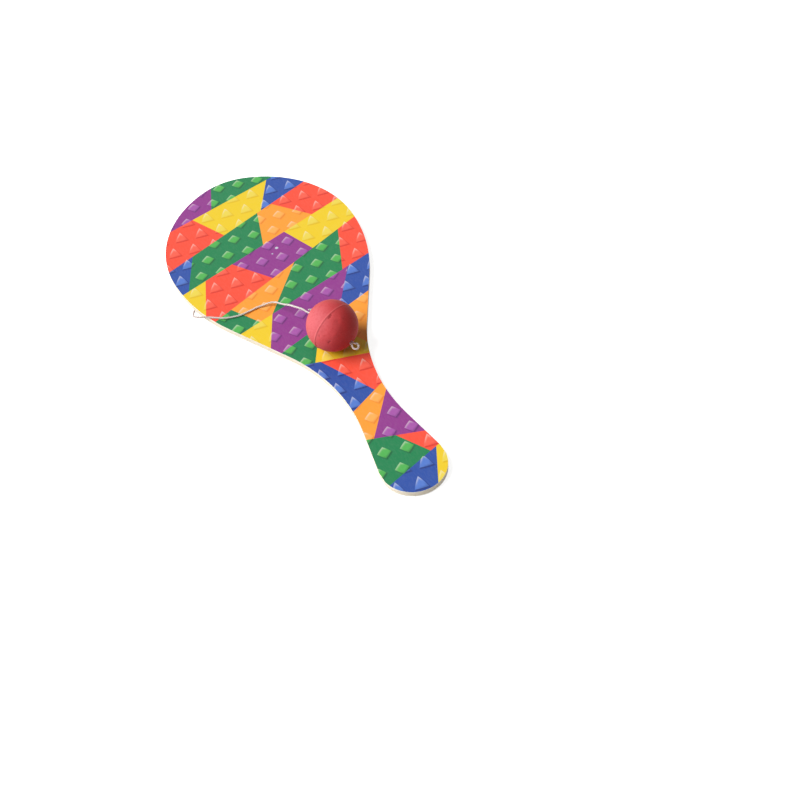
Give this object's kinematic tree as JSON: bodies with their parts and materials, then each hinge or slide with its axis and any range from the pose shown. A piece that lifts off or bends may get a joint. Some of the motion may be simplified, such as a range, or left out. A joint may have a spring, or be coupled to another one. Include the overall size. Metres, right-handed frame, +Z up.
{
  "type": "paddle ball game",
  "caption": "Flat wooden paddle with a printed patchwork face and a rubber ball on a white elastic cord stapled behind the head.",
  "frame": {"origin": "middle of the paddle's length and width, on the underside of the staple that it lies on", "axes": "+Y from the handle to the head, +Z up out of the printed face, +X to the right as seen on the printed face"},
  "size_m": [0.1016, 0.235, 0.0298],
  "materials": {
    "birch_ply": "sanded, unvarnished",
    "birch_core": "sanded, unvarnished",
    "printed_paper": "glossy varnish over the print",
    "staple_steel": "plain wire",
    "elastic_cord": "braided cover over rubber",
    "red_rubber": "dull"
  },
  "bodies": {
    "paddle": {"back_ply": "birch_ply", "core_ply": "birch_core", "front_ply": "birch_ply", "printed_face": "printed_paper", "staple": "staple_steel", "cord_stop_knot": "elastic_cord", "cord_coil": "elastic_cord", "cord_run": "elastic_cord"},
    "tether_end": {"ball_knot": "elastic_cord", "ball_cord_eye": "elastic_cord"},
    "ball": {"rubber_ball": "red_rubber"}
  },
  "joints": [
    {"name": "ball_flight", "type": "slide", "parent": "paddle", "child": "tether_end", "axis": [0, 0, 1], "range_m": [0, 0.6], "stiffness_N_per_m": 2, "deforming": ["cord_run"]},
    {"name": "ball_spin", "type": "hinge", "parent": "tether_end", "child": "ball", "pos_m": [0.0017, -0.0202, 0.0173], "axis": [0.3271, -0.8986, -0.2924], "continuous": true}
  ]
}
